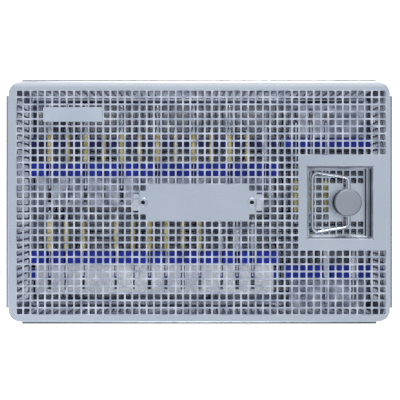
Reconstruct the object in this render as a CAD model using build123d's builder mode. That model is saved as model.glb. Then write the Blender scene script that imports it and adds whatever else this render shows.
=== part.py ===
from build123d import *
import os
from math import cos, pi, radians, sin, tan

# Implant surgical kit: a perforated steel tray with a perforated lid that tilts
# up about its left end, a knob and bolt latch in a sunken pocket, a folding
# wire bail, and rows of drills and drivers in silicone strips.
# Millimetres. +X to the latch end, +Y to the rear, +Z up.
# The origin is on the table, under the middle of the tray.

os.makedirs("parts", exist_ok=True)

# Sheet, wire and overall sizes
sheet = 1.0
lid_length = 285.0
lid_width = 180.0
rim_top = 50.0
foot_height = 2.0
rim_wire_d = 3.5
rim_corner = 7.0

# Fits and gaps
skirt_gap = 0.4
lid_gap = 0.3
wall_drop = 0.5
running_gap = 0.05
slide_gap = 0.3
slot_gap = 0.3

# Perforation: the real sheet, and how many real holes one modelled gap spans
hole_pitch = 5.35
hole_bar = 1.35
gap_span = 3
wall_span = 4
floor_span = 5
field_border = 6.0
field_x = 1.4
field_y = -0.5

# Lid sheet
lid_bend = 2.2
skirt_depth = 10.0
corner_cut = 10.0
corner_soft = 3.0
skirt_end_gap = 12.0
name_columns = 16
name_rows = 5
name_x = -1.275
latch_border_x = 6.1
latch_border_y = 8.2

# Hooks at the left end
hook_width = 12.0
hook_end_gap = 38.0
hook_sweep = 115.0
notch_gap = 2.0

# Small plate, rivets and bar on the lid
plate_length = 43.7
plate_width = 11.0
plate_thickness = 0.6
plate_from_end = 49.3
plate_from_rear = 25.7
rivet_head_r = 3.6
rivet_head = 0.7
rivet_shank_r = 1.9
rivet_bore_r = 1.4
bar_width = 12.0
bar_thickness = 1.5
bar_overhang = 8.0

# Pocket in the lid
pocket_length = 48.2
pocket_width = 53.2
pocket_depth = 14.0
pocket_from_end = 38.7
pocket_border = 2.4
pocket_plain_columns = 5
pocket_plain_rows = 5

# Knob, base and bail
knob_offset = 6.2
knob_r = 10.0
knob_thickness = 4.0
knob_edge = 0.8
round_sides = 24
knob_recess = 0.3
base_r = 10.0
spindle_r = 2.5
bail_wire_d = 2.4
bail_offset = 1.5
bail_drop = 6.8
bail_end_gap = 4.6
bail_side_gap = 3.7
bail_flare = 4.6
bail_root_bend = 3.5
bail_grip_bend = 4.5
bail_seat = 4.0

# Crank, bolt and keeper
crank_r = 6.0
crank_thickness = 2.0
crank_throw = 3.2
crank_pin_r = 1.5
pin_gap = 0.3
bolt_width = 18.0
bolt_thickness = 2.0
bolt_back = 12.0
bolt_nose = 0.8
guide_length = 4.0
keeper_length = 28.0
keeper_height = 12.0
keeper_reach = 5.6
keeper_thickness = 1.5
keeper_gap = 0.4

# Tray sheet
wall_bend = 4.0
foot_r = 7.0
foot_from_end = 27.5
foot_from_side = 28.0
wire_sides = 8
wire_chords = 3
rivet_sides = 12

# Rails, strips and comb plates
rail_bottom = 13.0
rail_flange = 5.0
leg_thickness = 1.5
leg_foot = 8.0
strip_top = 26.5
low_strip_top = 24.8
hidden_strip_top = 22.5
bay_left_gap = 11.5
bay_right_gap = 11.0
side_bay_length = 66.0
bay_gap = 4.0
rear_main_y = 24.6
rear_main_width = 9.2
rear_second_y = 46.0
rear_second_width = 6.4
front_main_y = -43.1
front_main_width = 8.6
front_second_y = -56.6
front_second_width = 8.0
side_rear_y = 45.5
side_rear_width = 6.4
side_front_y = -54.6
side_front_width = 10.4
comb_top = 24.0
comb_lip = 8.0
comb_reach = 22.0
comb_side_reach = 25.0
comb_front_reach = 21.0
comb_rim = 2.5
comb_inset = 4.0

# Instruments
axis_height = 23.3
shank_r = 1.175
shank_length = 19.0
body_r = 2.1
gold_length = 23.5
rear_tip_length = 21.0
front_tip_length = 7.5
side_tip_length = 9.0
side_neck_length = 26.3
tip_r = 1.5
row_lead = 15.0
rear_trail = 10.1
rear_count = 12
front_trail = 20.1
front_places = (0, 1, 2, 4, 5, 6, 7, 8, 9)
front_tool_places = (10.3, 11.27, 12.2)
side_drill_leads = (9.5, 21.1, 32.7)
side_tool_leads = (32.7, 54.0)
instrument_sides = 6
tool_shaft_r = 1.2
rear_tool_grip = (2.1, 30.0, 12.0)
front_tool_grips = ((2.6, 14.0, 9.0), (3.4, 18.0, 6.0), (2.4, 22.0, 5.0))
side_tool_r = 3.0
side_tool_grips = ((27.0, 2.0), (18.0, 8.0))
side_tool_shank = 18.0

# Heights that follow from those
lid_under = rim_top + lid_gap
lid_top = lid_under + sheet
rim_r = rim_wire_d / 2
rim_z = rim_top - rim_r
floor_top = foot_height + sheet
wall_top = rim_top - wall_drop
pocket_floor_top = lid_top - pocket_depth
pocket_floor_under = pocket_floor_top - sheet
crank_top = pocket_floor_under - slide_gap
crank_under = crank_top - crank_thickness
bolt_top = crank_under - slide_gap
bolt_under = bolt_top - bolt_thickness
bail_z = lid_top - bail_drop
knob_top = lid_top - knob_recess
knob_under = knob_top - knob_thickness
base_top = knob_under - slide_gap
keeper_under = bolt_top + keeper_gap

# Widths that follow from those
rim_x = lid_length / 2 - sheet - skirt_gap - rim_r
rim_y = lid_width / 2 - sheet - skirt_gap - rim_r
wall_x = rim_x - rim_r
wall_y = rim_y - rim_r
wall_corner = rim_corner - rim_r
flat_x = lid_length / 2 - lid_bend
flat_y = lid_width / 2 - lid_bend
field_length = int((lid_length - 2 * field_border) / hole_pitch) * hole_pitch
field_width = int((lid_width - 2 * field_border) / hole_pitch) * hole_pitch
hook_y = lid_width / 2 - hook_end_gap
plate_x = plate_from_end - lid_length / 2
plate_y = lid_width / 2 - plate_from_rear
foot_x = lid_length / 2 - foot_from_end
foot_y = lid_width / 2 - foot_from_side

# Places of the latch and bail in the pocket
pocket_x = lid_length / 2 - pocket_from_end
knob_x = pocket_x + knob_offset
bail_x = knob_x + bail_offset
bail_reach = bail_x - pocket_x + pocket_length / 2 - bail_end_gap
bail_grip_y = pocket_width / 2 - bail_side_gap
bail_root_y = bail_grip_y - bail_flare
bolt_tip_x = pocket_x + pocket_length / 2 + sheet + bolt_nose

# Bays, and the places of the instruments along them
right_bay = (lid_length / 2 - bay_right_gap - side_bay_length, lid_length / 2 - bay_right_gap)
left_bay = (bay_left_gap - lid_length / 2, right_bay[0] - bay_gap)
row_length = left_bay[1] - left_bay[0] - row_lead
rear_step = (row_length - rear_trail) / rear_count
front_step = (row_length - front_trail) / front_tool_places[-1]
first_x = left_bay[0] + row_lead
rear_places = [first_x + i * rear_step for i in range(rear_count)]
rear_tool_x = first_x + rear_count * rear_step
front_drill_places = [first_x + i * front_step for i in front_places]
front_tools = [first_x + i * front_step for i in front_tool_places]
side_drill_places = [right_bay[0] + lead for lead in side_drill_leads]
side_tool_places = [right_bay[0] + lead for lead in side_tool_leads]


def save(piece, name):
    """Label one finished piece and write its file."""
    piece.part.label = name
    export_step(piece.part, f"parts/{name}.step")


def side_plane(turn):
    """Upright plane across a side: x outward, y up, its normal along the side."""
    along = (sin(radians(turn)), -cos(radians(turn)), 0)
    return Plane(origin=(0, 0, 0), x_dir=(cos(radians(turn)), sin(radians(turn)), 0), z_dir=along)


def face_plane(turn, distance, height):
    """Plane on the outside of a side: x along the side, y up, its normal outward."""
    outward = (cos(radians(turn)), sin(radians(turn)), 0)
    origin = (outward[0] * distance, outward[1] * distance, height)
    return Plane(origin=origin, x_dir=(-sin(radians(turn)), cos(radians(turn)), 0), z_dir=outward)


def gap_points(length, width, span):
    """Centres of the modelled gaps that fit a field, each as wide as span real holes."""
    step = hole_pitch * span
    columns = int(length // step)
    rows = int(width // step)
    xs = [(i - (columns - 1) / 2) * step for i in range(columns)]
    ys = [(j - (rows - 1) / 2) * step for j in range(rows)]
    return [(x, y) for x in xs for y in ys]


gap_size = gap_span * hole_pitch - hole_bar
wall_gap_size = wall_span * hole_pitch - hole_bar
floor_gap_size = floor_span * hole_pitch - hole_bar
straight_share = 1 - tan(radians(22.5))


def wall_section(plane, outer, bend):
    """Section of an upright wall with its foot bent inward, drawn on a plane with y up."""
    bottom = foot_height
    outer_cut = bend * straight_share
    inner_cut = sheet + (bend - sheet) * straight_share
    with BuildSketch(plane) as section:
        with BuildLine():
            Polyline((outer, wall_top), (outer, bottom + outer_cut), (outer - outer_cut, bottom),
                     (outer - bend, bottom), (outer - bend, bottom + sheet),
                     (outer - inner_cut, bottom + sheet), (outer - sheet, bottom + inner_cut),
                     (outer - sheet, wall_top), close=True)
        make_face()
    return section.sketch


def wire_line(corners, radii, closed):
    """Points of a bent wire: each bend is a few short chords drawn just outside its arc."""
    points = []
    for i, radius in enumerate(radii):
        corner = Vector(*corners[i])
        if radius == 0:
            points.append(corner)
            continue
        back = (Vector(*corners[i - 1]) - corner).normalized()
        ahead = (Vector(*corners[(i + 1) % len(corners)]) - corner).normalized()
        half = radians(back.get_angle(ahead)) / 2
        middle = (back + ahead).normalized()
        centre = corner + middle * (radius / sin(half))
        step = (pi - 2 * half) / wire_chords
        side = -1 if back.cross(ahead).Z > 0 else 1
        for k in range(wire_chords):
            turn = side * (k - (wire_chords - 1) / 2) * step
            spoke = Vector(middle.X * cos(turn) - middle.Y * sin(turn), middle.X * sin(turn) + middle.Y * cos(turn))
            points.append(centre - spoke * (radius / cos(step / 2)))
    return Polyline(*points, close=closed)


# Tray floor: flat perforated sheet inside the bends
floor_length = 2 * (wall_x - wall_bend)
floor_width = 2 * (wall_y - wall_bend)
with BuildPart() as tray_floor:
    with BuildSketch(Plane.XY.offset(foot_height)):
        RectangleRounded(floor_length, floor_width, wall_corner - wall_bend)
        with Locations(*gap_points(floor_length - hole_pitch, floor_width - hole_pitch, floor_span)):
            Rectangle(floor_gap_size, floor_gap_size, mode=Mode.SUBTRACT)
    extrude(amount=sheet)
save(tray_floor, "tray_floor")


def tray_wall(turn, outer, run):
    """One upright perforated wall with its bent foot, between two corners."""
    band = wall_top - foot_height - wall_bend
    section = wall_section(side_plane(turn), outer, wall_bend)
    with BuildPart() as wall:
        extrude(section, amount=run / 2, both=True)
        with BuildSketch(face_plane(turn, outer, foot_height + wall_bend + band / 2)):
            with Locations(*gap_points(run, band, wall_span)):
                Rectangle(wall_gap_size, wall_gap_size)
        extrude(amount=-sheet, mode=Mode.SUBTRACT)
    return wall


long_run = 2 * (wall_x - wall_corner)
short_run = 2 * (wall_y - wall_corner)
save(tray_wall(90, wall_y, long_run), "tray_wall_rear")
save(tray_wall(270, wall_y, long_run), "tray_wall_front")
save(tray_wall(0, wall_x, short_run), "tray_wall_right")

# Left wall: the same, with a notch under the rim wire for each hook
notch_width = hook_width + 2 * notch_gap
notch_depth = wall_top - rim_z + rim_r + skirt_gap + sheet + notch_gap
plain_left_wall = tray_wall(180, wall_x, short_run)
with BuildPart() as tray_wall_left:
    add(plain_left_wall.part)
    with BuildSketch(face_plane(180, wall_x, wall_top - notch_depth / 2)):
        with Locations((-hook_y, 0), (hook_y, 0)):
            Rectangle(notch_width, notch_depth)
    extrude(amount=-sheet, mode=Mode.SUBTRACT)
save(tray_wall_left, "tray_wall_left")

# Tray corners: the wall's section turned a quarter turn at each corner
corner_x = wall_x - wall_corner
corner_y = wall_y - wall_corner
corner_plane = Plane(origin=(corner_x, corner_y, 0), x_dir=(1, 0, 0), z_dir=(0, -1, 0))
corner_section = wall_section(corner_plane, wall_corner, wall_bend)
with BuildPart() as tray_corners:
    revolve(corner_section, axis=Axis((corner_x, corner_y, 0), (0, 0, 1)), revolution_arc=90)
    mirror(about=Plane.XZ)
    mirror(about=Plane.YZ)
save(tray_corners, "tray_corners")

# Rim: one round wire welded outside the wall's top edge
with BuildPart() as rim_wire:
    with BuildLine(Plane.XY.offset(rim_z)) as rim_path:
        wire_line([(0, rim_y), (-rim_x, rim_y), (-rim_x, -rim_y), (rim_x, -rim_y), (rim_x, rim_y)],
                  [0, rim_corner, rim_corner, rim_corner, rim_corner], True)
    with BuildSketch(Plane(origin=(0, rim_y, rim_z), z_dir=(-1, 0, 0))):
        RegularPolygon(rim_r, wire_sides, major_radius=False, rotation=180 / wire_sides)
    sweep(path=rim_path.line, transition=Transition.RIGHT)
save(rim_wire, "rim_wire")

# Feet: four round pads under the floor
with BuildPart() as feet:
    with BuildSketch(Plane.XY):
        with Locations((foot_x, foot_y), (-foot_x, foot_y), (-foot_x, -foot_y), (foot_x, -foot_y)):
            RegularPolygon(foot_r, round_sides)
    extrude(amount=foot_height)
save(feet, "feet")

# Keeper: an angle on the right wall, whose ledge the bolt goes under
keeper_back_x = wall_x - sheet
with BuildPart() as keeper:
    with BuildSketch(Plane.XZ.offset(-field_y)):
        with BuildLine():
            Polyline((keeper_back_x, keeper_under + keeper_thickness),
                     (keeper_back_x - keeper_reach, keeper_under + keeper_thickness),
                     (keeper_back_x - keeper_reach, keeper_under),
                     (keeper_back_x - sheet, keeper_under),
                     (keeper_back_x - sheet, keeper_under + keeper_thickness - keeper_height),
                     (keeper_back_x, keeper_under + keeper_thickness - keeper_height),
                     close=True)
        make_face()
    extrude(amount=keeper_length / 2, both=True)
save(keeper, "keeper")


def channel(bay, middle_y, width):
    """Solid of one rail: an open channel that a strip seats in, along a bay."""
    middle_x = (bay[0] + bay[1]) / 2
    with BuildPart() as rail:
        with BuildSketch(Plane.XY.offset(rail_bottom)):
            with Locations((middle_x, middle_y)):
                Rectangle(bay[1] - bay[0], width + 2 * sheet)
        extrude(amount=sheet + rail_flange)
        with BuildSketch(Plane.XY.offset(rail_bottom + sheet)):
            with Locations((middle_x, middle_y)):
                Rectangle(bay[1] - bay[0], width)
        extrude(amount=rail_flange, mode=Mode.SUBTRACT)
    return rail.part


def rack(bay, lines):
    """Rails joined at both ends by legs with feet on the tray floor; lines are (y, width)."""
    low_y = min(y - width / 2 - sheet for y, width in lines)
    high_y = max(y + width / 2 + sheet for y, width in lines)
    middle_y = (low_y + high_y) / 2
    rails = [channel(bay, y, width) for y, width in lines]
    with BuildPart() as frame:
        add(rails)
        for end_x, inward in ((bay[0], 1), (bay[1], -1)):
            with BuildSketch(Plane.XY.offset(floor_top)):
                with Locations((end_x - inward * leg_thickness / 2, middle_y)):
                    Rectangle(leg_thickness, high_y - low_y)
            extrude(amount=rail_bottom + sheet + rail_flange - floor_top)
            with BuildSketch(Plane.XY.offset(floor_top)):
                with Locations((end_x + inward * leg_foot / 2, middle_y)):
                    Rectangle(leg_foot, high_y - low_y)
            extrude(amount=sheet)
    return frame


def strip(bay, middle_y, width, top, places, radius):
    """Silicone strip in its rail, with an open slot at each instrument."""
    bottom = rail_bottom + sheet
    slot_floor = axis_height - radius - slot_gap
    with BuildPart() as bar:
        with BuildSketch(Plane.XZ.offset(-middle_y)):
            with Locations(((bay[0] + bay[1]) / 2, (bottom + top) / 2)):
                Rectangle(bay[1] - bay[0], top - bottom)
            with Locations(*[(x, (slot_floor + top) / 2) for x in places]):
                Rectangle(2 * (radius + slot_gap), top - slot_floor, mode=Mode.SUBTRACT)
        extrude(amount=width / 2, both=True)
    return bar


def comb(bay, rail_y, rail_width, side, reach, places):
    """Plate of bare tabs beside a strip: a lip on the rail and a slot at each instrument."""
    lip_y = rail_y + side * (rail_width / 2 + sheet)
    length = bay[1] - bay[0] - 2 * comb_inset
    middle_x = (bay[0] + bay[1]) / 2
    slot_width = 2 * (shank_r + slot_gap)
    slot_length = reach - comb_rim
    with BuildPart() as plate:
        with BuildSketch(Plane.XY.offset(comb_top - sheet)):
            with Locations((middle_x, lip_y + side * reach / 2)):
                Rectangle(length, reach)
            with Locations(*[(x, lip_y + side * (sheet + slot_length) / 2) for x in places]):
                Rectangle(slot_width, slot_length - sheet, mode=Mode.SUBTRACT)
        extrude(amount=sheet)
        with BuildSketch(Plane.XY.offset(comb_top - comb_lip)):
            with Locations((middle_x, lip_y + side * sheet / 2)):
                Rectangle(length, sheet)
        extrude(amount=comb_lip)
        slot_floor = axis_height - shank_r - slot_gap
        with BuildSketch(Plane.XY.offset(slot_floor)):
            with Locations(*[(x, lip_y + side * sheet / 2) for x in places]):
                Rectangle(slot_width, 2 * sheet)
        extrude(amount=comb_top - slot_floor, mode=Mode.SUBTRACT)
    return plate


rear_slots = rear_places + [rear_tool_x]
front_slots = front_drill_places + front_tools

# Racks: the welded rails of each row, and the two single rails of the right bay
rear_rack = rack(left_bay, ((rear_main_y, rear_main_width), (rear_second_y, rear_second_width)))
save(rear_rack, "rear_rack")
front_rack = rack(left_bay, ((front_main_y, front_main_width), (front_second_y, front_second_width)))
save(front_rack, "front_rack")
save(rack(right_bay, ((side_rear_y, side_rear_width),)), "side_rear_rail")
save(rack(right_bay, ((side_front_y, side_front_width),)), "side_front_rail")

# Silicone strips
save(strip(left_bay, rear_main_y, rear_main_width, strip_top, rear_slots, shank_r), "rear_main_strip")
save(strip(left_bay, rear_second_y, rear_second_width, low_strip_top, rear_slots, body_r), "rear_second_strip")
save(strip(left_bay, front_main_y, front_main_width, strip_top, front_slots, shank_r), "front_main_strip")
save(strip(left_bay, front_second_y, front_second_width, hidden_strip_top, front_slots, shank_r),
     "front_second_strip")
save(strip(right_bay, side_rear_y, side_rear_width, strip_top, side_drill_places, shank_r), "side_rear_strip")
save(strip(right_bay, side_front_y, side_front_width, strip_top, side_tool_places, side_tool_r),
     "side_front_strip")

# Comb plates
save(comb(left_bay, rear_main_y, rear_main_width, -1, comb_reach, rear_slots), "rear_comb_plate")
save(comb(left_bay, front_main_y, front_main_width, -1, comb_reach, front_slots), "front_comb_plate")
save(comb(right_bay, side_rear_y, side_rear_width, 1, comb_side_reach, side_drill_places),
     "side_rear_comb_plate")
save(comb(right_bay, side_front_y, side_front_width, -1, comb_front_reach, side_tool_places),
     "side_front_comb_plate")


def instrument(x, y, direction, lengths):
    """One instrument from its shank end: each length is (its far end, its radius)."""
    start = 0
    with BuildPart() as tool:
        for end, radius in lengths:
            with BuildSketch(Plane(origin=(x, y + direction * start, axis_height), z_dir=(0, direction, 0))):
                RegularPolygon(radius, instrument_sides)
            extrude(amount=end - start)
            start = end
    return tool.part


def drill_lengths(neck, tip):
    """Lengths of a drill: latch shank with its neck, gold guide body and cutting tip."""
    body_start = shank_length + neck
    body_end = body_start + gold_length
    return (body_start, shank_r), (body_end, body_r), (body_end + tip, tip_r)


def driver_lengths(shank, grip_r, grip, shaft):
    """Lengths of a hand tool: latch shank, grip and thin shaft."""
    return (shank, shank_r), (shank + grip, grip_r), (shank + grip + shaft, tool_shaft_r)


# Rows of drills, each drill a solid of its own
rear_shank_y = rear_main_y + rear_main_width / 2 - shank_length
rear_set = [instrument(x, rear_shank_y, 1, drill_lengths(0, rear_tip_length)) for x in rear_places]
with BuildPart() as rear_drills:
    add(rear_set)
save(rear_drills, "rear_drills")

front_shank_y = front_main_y + front_main_width / 2 - shank_length
front_set = [instrument(x, front_shank_y, 1, drill_lengths(0, front_tip_length)) for x in front_drill_places]
with BuildPart() as front_drills:
    add(front_set)
save(front_drills, "front_drills")

side_shank_y = side_rear_y - side_rear_width / 2 + shank_length
side_set = [instrument(x, side_shank_y, -1, drill_lengths(side_neck_length, side_tip_length))
            for x in side_drill_places]
with BuildPart() as side_drills:
    add(side_set)
save(side_drills, "side_drills")

# Steel tools, each a piece of its own
rear_driver = BuildPart()
with rear_driver:
    add(instrument(rear_tool_x, rear_shank_y, 1, driver_lengths(shank_length, *rear_tool_grip)))
save(rear_driver, "rear_driver")

for place, grip, name in zip(front_tools, front_tool_grips, ("left", "middle", "right")):
    with BuildPart() as front_driver:
        add(instrument(place, front_shank_y, 1, driver_lengths(shank_length, *grip)))
    save(front_driver, f"front_driver_{name}")

side_tool_y = side_front_y - side_front_width / 2 - sheet - side_tool_shank
for place, grip, name in zip(side_tool_places, side_tool_grips, ("left", "right")):
    with BuildPart() as side_driver:
        add(instrument(place, side_tool_y, 1, driver_lengths(side_tool_shank, side_tool_r, *grip)))
    save(side_driver, f"side_driver_{name}")


def skirt_section(plane, outer, bottom):
    """Section of the lid's edge turned down to a given height, on a plane with y up."""
    with BuildSketch(plane) as section:
        with BuildLine():
            RadiusArc((outer - lid_bend, lid_top), (outer, lid_top - lid_bend), lid_bend)
            Line((outer, lid_top - lid_bend), (outer, bottom))
            Line((outer, bottom), (outer - sheet, bottom))
            Line((outer - sheet, bottom), (outer - sheet, lid_top - lid_bend))
            RadiusArc((outer - sheet, lid_top - lid_bend), (outer - lid_bend, lid_under), sheet - lid_bend)
            Line((outer - lid_bend, lid_under), (outer - lid_bend, lid_top))
        make_face()
    return section.sketch


# Lid frame: plain border with cut corners, and a skirt turned down on each side
skirt_bottom = lid_top - skirt_depth
end_skirt = lid_width / 2 - skirt_end_gap
long_skirt = lid_length / 2 - skirt_end_gap
right_skirt = skirt_section(side_plane(0), lid_length / 2, skirt_bottom)
left_skirt = skirt_section(side_plane(180), lid_length / 2, rim_z)
rear_skirt = skirt_section(side_plane(90), lid_width / 2, skirt_bottom)
front_skirt = skirt_section(side_plane(270), lid_width / 2, skirt_bottom)
with BuildPart() as lid_frame:
    with BuildSketch(Plane.XY.offset(lid_under)) as border:
        Rectangle(2 * flat_x, 2 * flat_y)
        chamfer(border.vertices(), corner_cut - 2 * lid_bend)
        fillet(border.vertices(), corner_soft)
        with Locations((field_x, field_y)):
            Rectangle(field_length, field_width, mode=Mode.SUBTRACT)
    extrude(amount=sheet)
    extrude(right_skirt, amount=end_skirt, both=True)
    extrude(left_skirt, amount=end_skirt, both=True)
    extrude(rear_skirt, amount=long_skirt, both=True)
    extrude(front_skirt, amount=long_skirt, both=True)
save(lid_frame, "lid_frame")

# Lid hooks: curled round the rim wire from the left skirt's edge
hook_inner = rim_r + skirt_gap
with BuildPart() as lid_hooks:
    for offset in (-hook_y, hook_y):
        with BuildSketch(side_plane(180).offset(offset)):
            with BuildLine():
                outer_curl = CenterArc((rim_x, rim_z), hook_inner + sheet, 0, -hook_sweep)
                inner_curl = CenterArc((rim_x, rim_z), hook_inner, 0, -hook_sweep)
                Line(outer_curl @ 0, inner_curl @ 0)
                Line(outer_curl @ 1, inner_curl @ 1)
            make_face()
        extrude(amount=hook_width / 2, both=True)
save(lid_hooks, "lid_hooks")


def outside(point, zone):
    """True where a gap lies wholly outside a plain area, given by its left, right, front and rear."""
    x, y = point
    left, right, front, rear = zone
    half = gap_size / 2
    return x + half <= left or x - half >= right or y + half <= front or y - half >= rear


# Lid mesh: the perforated field, with its two plain areas and the pocket's opening
name_length = name_columns * hole_pitch
name_width = name_rows * hole_pitch
name_zone = (name_x - name_length / 2, name_x + name_length / 2,
             field_y - name_width / 2, field_y + name_width / 2)
latch_zone = (pocket_x - pocket_length / 2 - latch_border_x, lid_length / 2,
              field_y - pocket_width / 2 - latch_border_y, field_y + pocket_width / 2 + latch_border_y)
rivet_reach = (name_length - hole_pitch) / 2
rivet_points = [(name_x - rivet_reach, field_y), (name_x + rivet_reach, field_y)]
mesh_points = [(field_x + x, field_y + y) for x, y in gap_points(field_length, field_width, gap_span)]
mesh_gaps = [point for point in mesh_points if outside(point, name_zone) and outside(point, latch_zone)]
with BuildPart() as lid_mesh:
    with BuildSketch(Plane.XY.offset(lid_under)):
        with Locations((field_x, field_y)):
            Rectangle(field_length, field_width)
        with Locations((pocket_x, field_y)):
            Rectangle(pocket_length, pocket_width, mode=Mode.SUBTRACT)
        with Locations(*mesh_gaps):
            Rectangle(gap_size, gap_size, mode=Mode.SUBTRACT)
        with Locations(*rivet_points):
            RegularPolygon(rivet_shank_r + running_gap, rivet_sides, mode=Mode.SUBTRACT)
    extrude(amount=sheet)
save(lid_mesh, "lid_mesh")

# Small bare plate near the rear left corner
with BuildPart() as label_plate:
    with BuildSketch(Plane.XY.offset(lid_top)):
        with Locations((plate_x, plate_y)):
            Rectangle(plate_length, plate_width)
    extrude(amount=plate_thickness)
save(label_plate, "label_plate")

# Bar under the plain middle area, and the two hollow rivets that hold it
bar_length = 2 * (rivet_reach + bar_overhang)
bar_under = lid_under - bar_thickness
with BuildPart() as name_bar:
    with BuildSketch(Plane.XY.offset(bar_under)):
        with Locations((name_x, field_y)):
            Rectangle(bar_length, bar_width)
        with Locations(*rivet_points):
            RegularPolygon(rivet_shank_r + running_gap, rivet_sides, mode=Mode.SUBTRACT)
    extrude(amount=bar_thickness)
save(name_bar, "name_bar")

with BuildPart() as name_rivets:
    for low, high, outer_r in ((bar_under, lid_top, rivet_shank_r), (lid_top, lid_top + rivet_head, rivet_head_r)):
        with BuildSketch(Plane.XY.offset(low)):
            with Locations(*rivet_points):
                RegularPolygon(outer_r, rivet_sides)
                RegularPolygon(rivet_bore_r, rivet_sides, mode=Mode.SUBTRACT)
        extrude(amount=high - low)
save(name_rivets, "name_rivets")

# Pocket: folded walls under the opening, and a floor perforated clear of the latch
with BuildPart() as pocket_walls:
    with BuildSketch(Plane.XY.offset(pocket_floor_under)):
        with Locations((pocket_x, field_y)):
            Rectangle(pocket_length + 2 * sheet, pocket_width + 2 * sheet)
            Rectangle(pocket_length, pocket_width, mode=Mode.SUBTRACT)
    extrude(amount=lid_under - pocket_floor_under)
save(pocket_walls, "pocket_walls")

pocket_columns = int((pocket_length - 2 * pocket_border) / hole_pitch)
pocket_rows = int((pocket_width - 2 * pocket_border) / hole_pitch)
first_plain_row = (pocket_rows - pocket_plain_rows) // 2
floor_holes = []
for i in range(pocket_columns):
    for j in range(pocket_rows):
        in_plain_rows = first_plain_row <= j < first_plain_row + pocket_plain_rows
        if not (in_plain_rows and i >= pocket_columns - pocket_plain_columns):
            hole_x = pocket_x + (i - (pocket_columns - 1) / 2) * hole_pitch
            hole_y = field_y + (j - (pocket_rows - 1) / 2) * hole_pitch
            floor_holes.append((hole_x, hole_y))
with BuildPart() as pocket_floor:
    with BuildSketch(Plane.XY.offset(pocket_floor_under)):
        with Locations((pocket_x, field_y)):
            Rectangle(pocket_length, pocket_width)
        with Locations(*floor_holes):
            Rectangle(hole_pitch - hole_bar, hole_pitch - hole_bar, mode=Mode.SUBTRACT)
        with Locations((knob_x, field_y)):
            RegularPolygon(spindle_r + slide_gap, round_sides, mode=Mode.SUBTRACT)
    extrude(amount=sheet)
save(pocket_floor, "pocket_floor")

# Latch base: round boss on the pocket floor, bored for the spindle and the bail
bail_r = bail_wire_d / 2
with BuildPart() as latch_base:
    with BuildSketch(Plane.XY.offset(pocket_floor_top)):
        with Locations((knob_x, field_y)):
            RegularPolygon(base_r, round_sides)
            RegularPolygon(spindle_r + running_gap, round_sides, major_radius=False, mode=Mode.SUBTRACT)
    extrude(amount=base_top - pocket_floor_top)
    for side in (-1, 1):
        socket_plane = Plane(origin=(bail_x, field_y + side * bail_seat, bail_z), z_dir=(0, side, 0))
        with BuildSketch(socket_plane):
            RegularPolygon(bail_r + running_gap, wire_sides, major_radius=False)
        extrude(amount=base_r, mode=Mode.SUBTRACT)
save(latch_base, "latch_base")

# Bail: one bent wire, its two ends in the base, folded flat towards the tray's middle
bail_end = bail_seat + slide_gap
bail_points = [(bail_x, field_y + bail_end), (bail_x, field_y + bail_root_y),
               (bail_x - bail_reach, field_y + bail_grip_y), (bail_x - bail_reach, field_y - bail_grip_y),
               (bail_x, field_y - bail_root_y), (bail_x, field_y - bail_end)]
with BuildPart() as bail:
    with BuildLine(Plane.XY.offset(bail_z)) as bail_path:
        wire_line(bail_points, [0, bail_root_bend, bail_grip_bend, bail_grip_bend, bail_root_bend, 0], False)
    with BuildSketch(Plane(origin=(*bail_points[0], bail_z), z_dir=(0, 1, 0))):
        RegularPolygon(bail_r, wire_sides)
    sweep(path=bail_path.line, transition=Transition.RIGHT)
save(bail, "bail")

# Knob, its spindle through the base, and the crank below the pocket floor
with BuildPart() as latch_knob:
    with BuildSketch(Plane.XY.offset(knob_under)):
        with Locations((knob_x, field_y)):
            Circle(knob_r)
    extrude(amount=knob_thickness)
    chamfer(latch_knob.edges().group_by(Axis.Z)[-1], knob_edge)
save(latch_knob, "latch_knob")

with BuildPart() as latch_spindle:
    with BuildSketch(Plane.XY.offset(crank_top)):
        with Locations((knob_x, field_y)):
            RegularPolygon(spindle_r, round_sides)
    extrude(amount=knob_under - crank_top)
save(latch_spindle, "latch_spindle")

pin_x = knob_x - crank_throw * sin(radians(45))
pin_low_y = crank_throw * cos(radians(45))
with BuildPart() as latch_crank:
    with BuildSketch(Plane.XY.offset(crank_under)):
        with Locations((knob_x, field_y)):
            RegularPolygon(crank_r, round_sides)
    extrude(amount=crank_thickness)
    with BuildSketch(Plane.XY.offset(bolt_under)):
        with Locations((pin_x, field_y + pin_low_y)):
            RegularPolygon(crank_pin_r, wire_sides)
    extrude(amount=crank_under - bolt_under)
save(latch_crank, "latch_crank")

# Bolt: a flat bar with a cross slot for the crank pin, drawn back at rest
bolt_heel_x = knob_x - bolt_back
slot_low = pin_low_y - crank_pin_r - pin_gap
slot_high = crank_throw + crank_pin_r + pin_gap
with BuildPart() as latch_bolt:
    with BuildSketch(Plane.XY.offset(bolt_under)):
        with Locations(((bolt_heel_x + bolt_tip_x) / 2, field_y)):
            Rectangle(bolt_tip_x - bolt_heel_x, bolt_width)
        with Locations((pin_x, field_y + (slot_low + slot_high) / 2)):
            Rectangle(2 * (crank_pin_r + pin_gap), slot_high - slot_low, mode=Mode.SUBTRACT)
    extrude(amount=bolt_thickness)
    chamfer(latch_bolt.faces().sort_by(Axis.X)[-1].edges().filter_by(Axis.Z), bolt_thickness)
save(latch_bolt, "latch_bolt")

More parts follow.
